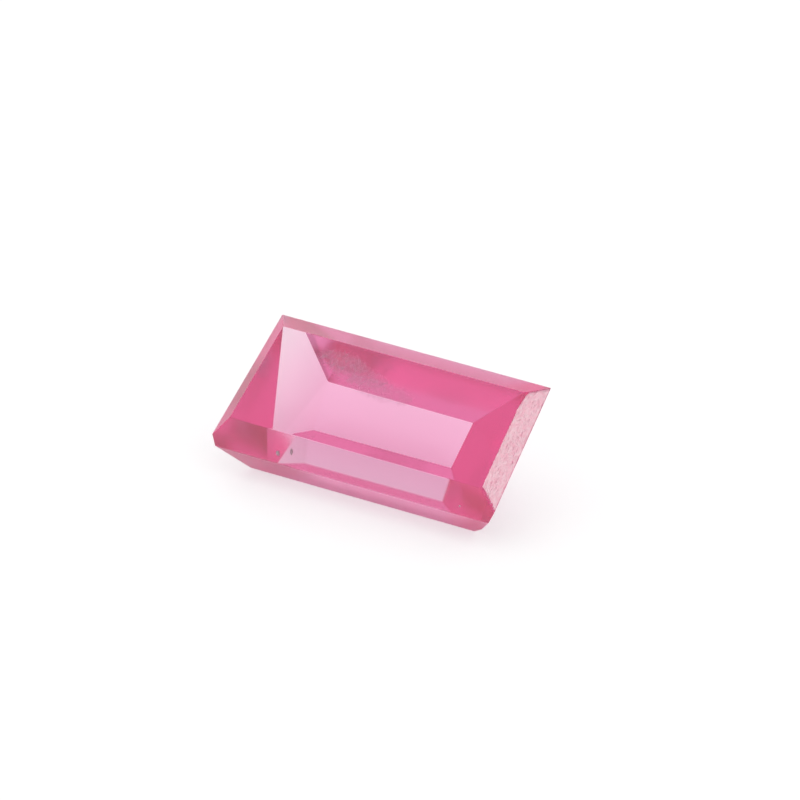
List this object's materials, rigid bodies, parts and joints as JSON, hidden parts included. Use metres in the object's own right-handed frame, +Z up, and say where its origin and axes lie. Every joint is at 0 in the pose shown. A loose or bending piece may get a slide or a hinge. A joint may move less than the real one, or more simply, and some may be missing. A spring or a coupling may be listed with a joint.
{
  "type": "cut ruby gemstone",
  "caption": "Rectangular step-cut ruby: one clear pink stone with a flat table, bevelled crown and stepped pavilion with a wide flat culet, lying on its long pavilion facet.",
  "frame": {"origin": "on the surface that the stone lies on, under the centre of its bounding box", "axes": "+X along the stone's long sides, +Z up, and the table leans 38 degrees towards -Y"},
  "size_m": [0.0082, 0.0032, 0.0032],
  "materials": {
    "ruby": "polished, see-through, pink"
  },
  "bodies": {
    "root": {"ruby": "ruby"}
  },
  "joints": []
}
